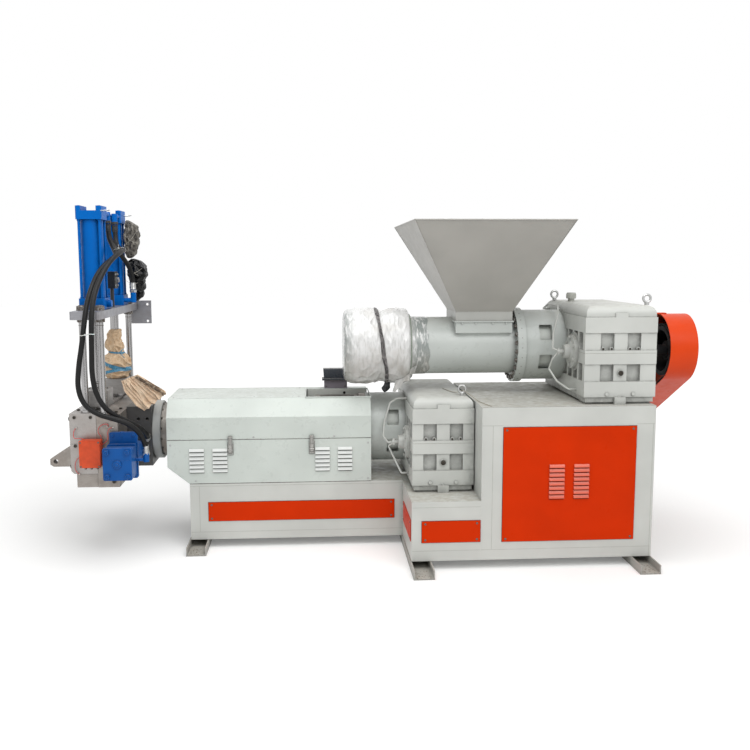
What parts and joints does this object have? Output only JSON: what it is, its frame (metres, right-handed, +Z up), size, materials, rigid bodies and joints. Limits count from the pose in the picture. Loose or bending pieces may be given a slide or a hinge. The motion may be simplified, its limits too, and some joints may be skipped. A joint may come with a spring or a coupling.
{
  "type": "plastic pelletizing machine, two-stage extruder",
  "caption": "Two-stage plastic pelletizing extruder: hopper-fed upper barrel over a guarded lower barrel with gearboxes, louvred base, belt drive and hydraulic die head.",
  "frame": {"origin": "on the floor under the middle of the machine's overall box, at the underside of its foot channels", "axes": "+X along the machine from the die head to the belt drive, +Y from its front to its back, +Z up"},
  "size_m": [3.863, 1.548, 2.108],
  "materials": {
    "black_plastic": "black sheet plastic",
    "black_rubber": "hose and belt rubber",
    "blue_paint": "gloss blue enamel",
    "cast_iron_paint": "sprayed grey enamel on rough castings",
    "chromed_rod": "hard chromed",
    "dark_cast_iron": "bare and oiled",
    "film_plastic": "stretch film wound in many layers",
    "grey_green_paint": "sprayed satin machine enamel",
    "guard_orange_paint": "gloss orange enamel on sheet",
    "kraft_paper": "creased brown packing paper",
    "machined_steel": "milled and turned steel",
    "orange_plastic": "moulded terminal box",
    "orange_red_paint": "gloss orange-red enamel on sheet",
    "steel_trim": "zinc plated"
  },
  "bodies": {
    "machine": {"barrel_flange": "grey_green_paint", "barrel_guard_lid": "grey_green_paint", "barrel_guard_skirt": "grey_green_paint", "bearing_caps": "cast_iron_paint", "belt_guard": "guard_orange_paint", "bench_panel": "orange_red_paint", "black_bag": "black_plastic", "bracket_arms": "machined_steel", "cabinet_door": "orange_red_paint", "coupling_housing": "grey_green_paint", "cylinder_plate": "machined_steel", "die_adapter": "machined_steel", "die_back_block": "machined_steel", "die_base_plate": "machined_steel", "die_block": "machined_steel", "die_flange": "machined_steel", "discharge_head": "grey_green_paint", "drive_belt": "black_rubber", "extruder_bench": "grey_green_paint", "film_wrap": "film_plastic", "foot_channels": "grey_green_paint", "front_hose": "black_rubber", "gear_motor": "blue_paint", "gearbox_step": "grey_green_paint", "grey_film_bag": "film_plastic", "guard_latches": "steel_trim", "hopper": "grey_green_paint", "hopper_neck": "grey_green_paint", "hopper_saddle": "grey_green_paint", "hydraulic_cylinders": "blue_paint", "kraft_paper_sheet": "kraft_paper", "lifting_eyes": "steel_trim", "lower_barrel": "machined_steel", "lower_coupling_housing": "grey_green_paint", "lower_gearbox_case": "cast_iron_paint", "lower_gearbox_cover": "cast_iron_paint", "lower_screw_shank": "machined_steel", "main_base": "grey_green_paint", "motor_plate": "blue_paint", "motor_pulley": "dark_cast_iron", "oil_filler_cap": "cast_iron_paint", "oil_pipes": "cast_iron_paint", "piston_rods": "chromed_rod", "plate_bracket": "machined_steel", "pulley_bearing_cap": "cast_iron_paint", "rear_hose": "black_rubber", "rod_paper_wrap": "kraft_paper", "short_hose": "black_rubber", "slide_gates": "machined_steel", "step_panels": "orange_red_paint", "terminal_box": "orange_plastic", "tie_posts": "chromed_rod", "upper_barrel": "grey_green_paint", "upper_gearbox_case": "cast_iron_paint", "upper_gearbox_cover": "cast_iron_paint", "upper_screw": "machined_steel", "valve_block": "black_plastic", "vent_box": "grey_green_paint", "vent_hood": "black_plastic"},
    "pulley": {"drive_pulley": "dark_cast_iron"}
  },
  "joints": [
    {"name": "pulley_spin", "type": "hinge", "parent": "machine", "child": "pulley", "pos_m": [1.8505, -0.328, 1.242], "axis": [1, 0, 0], "continuous": true}
  ]
}
